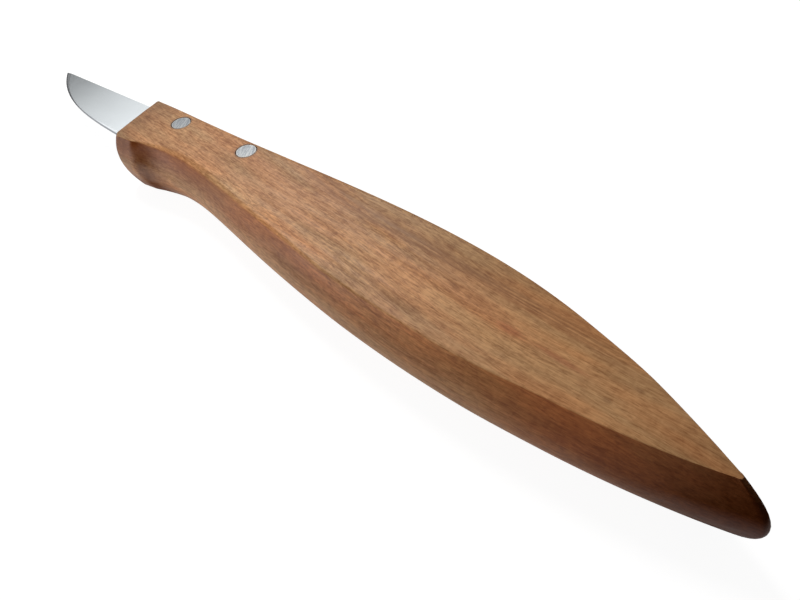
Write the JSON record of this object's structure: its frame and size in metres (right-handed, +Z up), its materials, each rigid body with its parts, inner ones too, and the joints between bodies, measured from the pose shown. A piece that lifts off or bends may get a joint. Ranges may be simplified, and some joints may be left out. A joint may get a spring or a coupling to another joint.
{
  "type": "whittling knife",
  "caption": "Fixed-blade whittling knife: short straight blade with a flat spine in a contoured one-piece wooden handle, held by flush rivets.",
  "frame": {"origin": "centre of the bounding box's lower face: the middle of the knife's length and height, on the surface it lies on", "axes": "+X from the blade's point to the handle's butt, +Y from the handle's belly up to its spine, +Z up through the handle's thickness"},
  "size_m": [0.1727, 0.0244, 0.012],
  "materials": {
    "handle_wood": "oiled",
    "blade_steel": "satin",
    "rivet_metal": "ground flush"
  },
  "bodies": {
    "root": {"handle": "handle_wood", "blade": "blade_steel", "front_rivet": "rivet_metal", "rear_rivet": "rivet_metal"}
  },
  "joints": []
}
